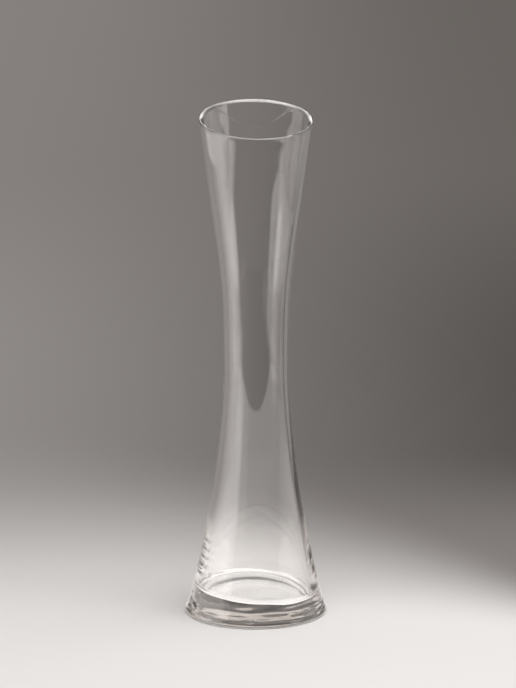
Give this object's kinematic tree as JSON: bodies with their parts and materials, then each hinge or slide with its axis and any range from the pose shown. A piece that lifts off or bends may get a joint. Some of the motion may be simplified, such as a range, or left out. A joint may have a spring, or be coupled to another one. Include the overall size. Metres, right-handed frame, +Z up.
{
  "type": "glass vase",
  "caption": "Slender hourglass vase of clear glass with a slanting flared mouth, a slim waist and a wide heavy foot, for a few long-stemmed flowers.",
  "frame": {"origin": "on the table, under the middle of the foot", "axes": "+Z up along the vase's axis, -Y towards the side that the mouth slants down to"},
  "size_m": [0.0854, 0.0854, 0.3065],
  "materials": {
    "clear_glass": "clear, polished"
  },
  "bodies": {
    "root": {"foot": "clear_glass", "blown_wall": "clear_glass"}
  },
  "joints": []
}
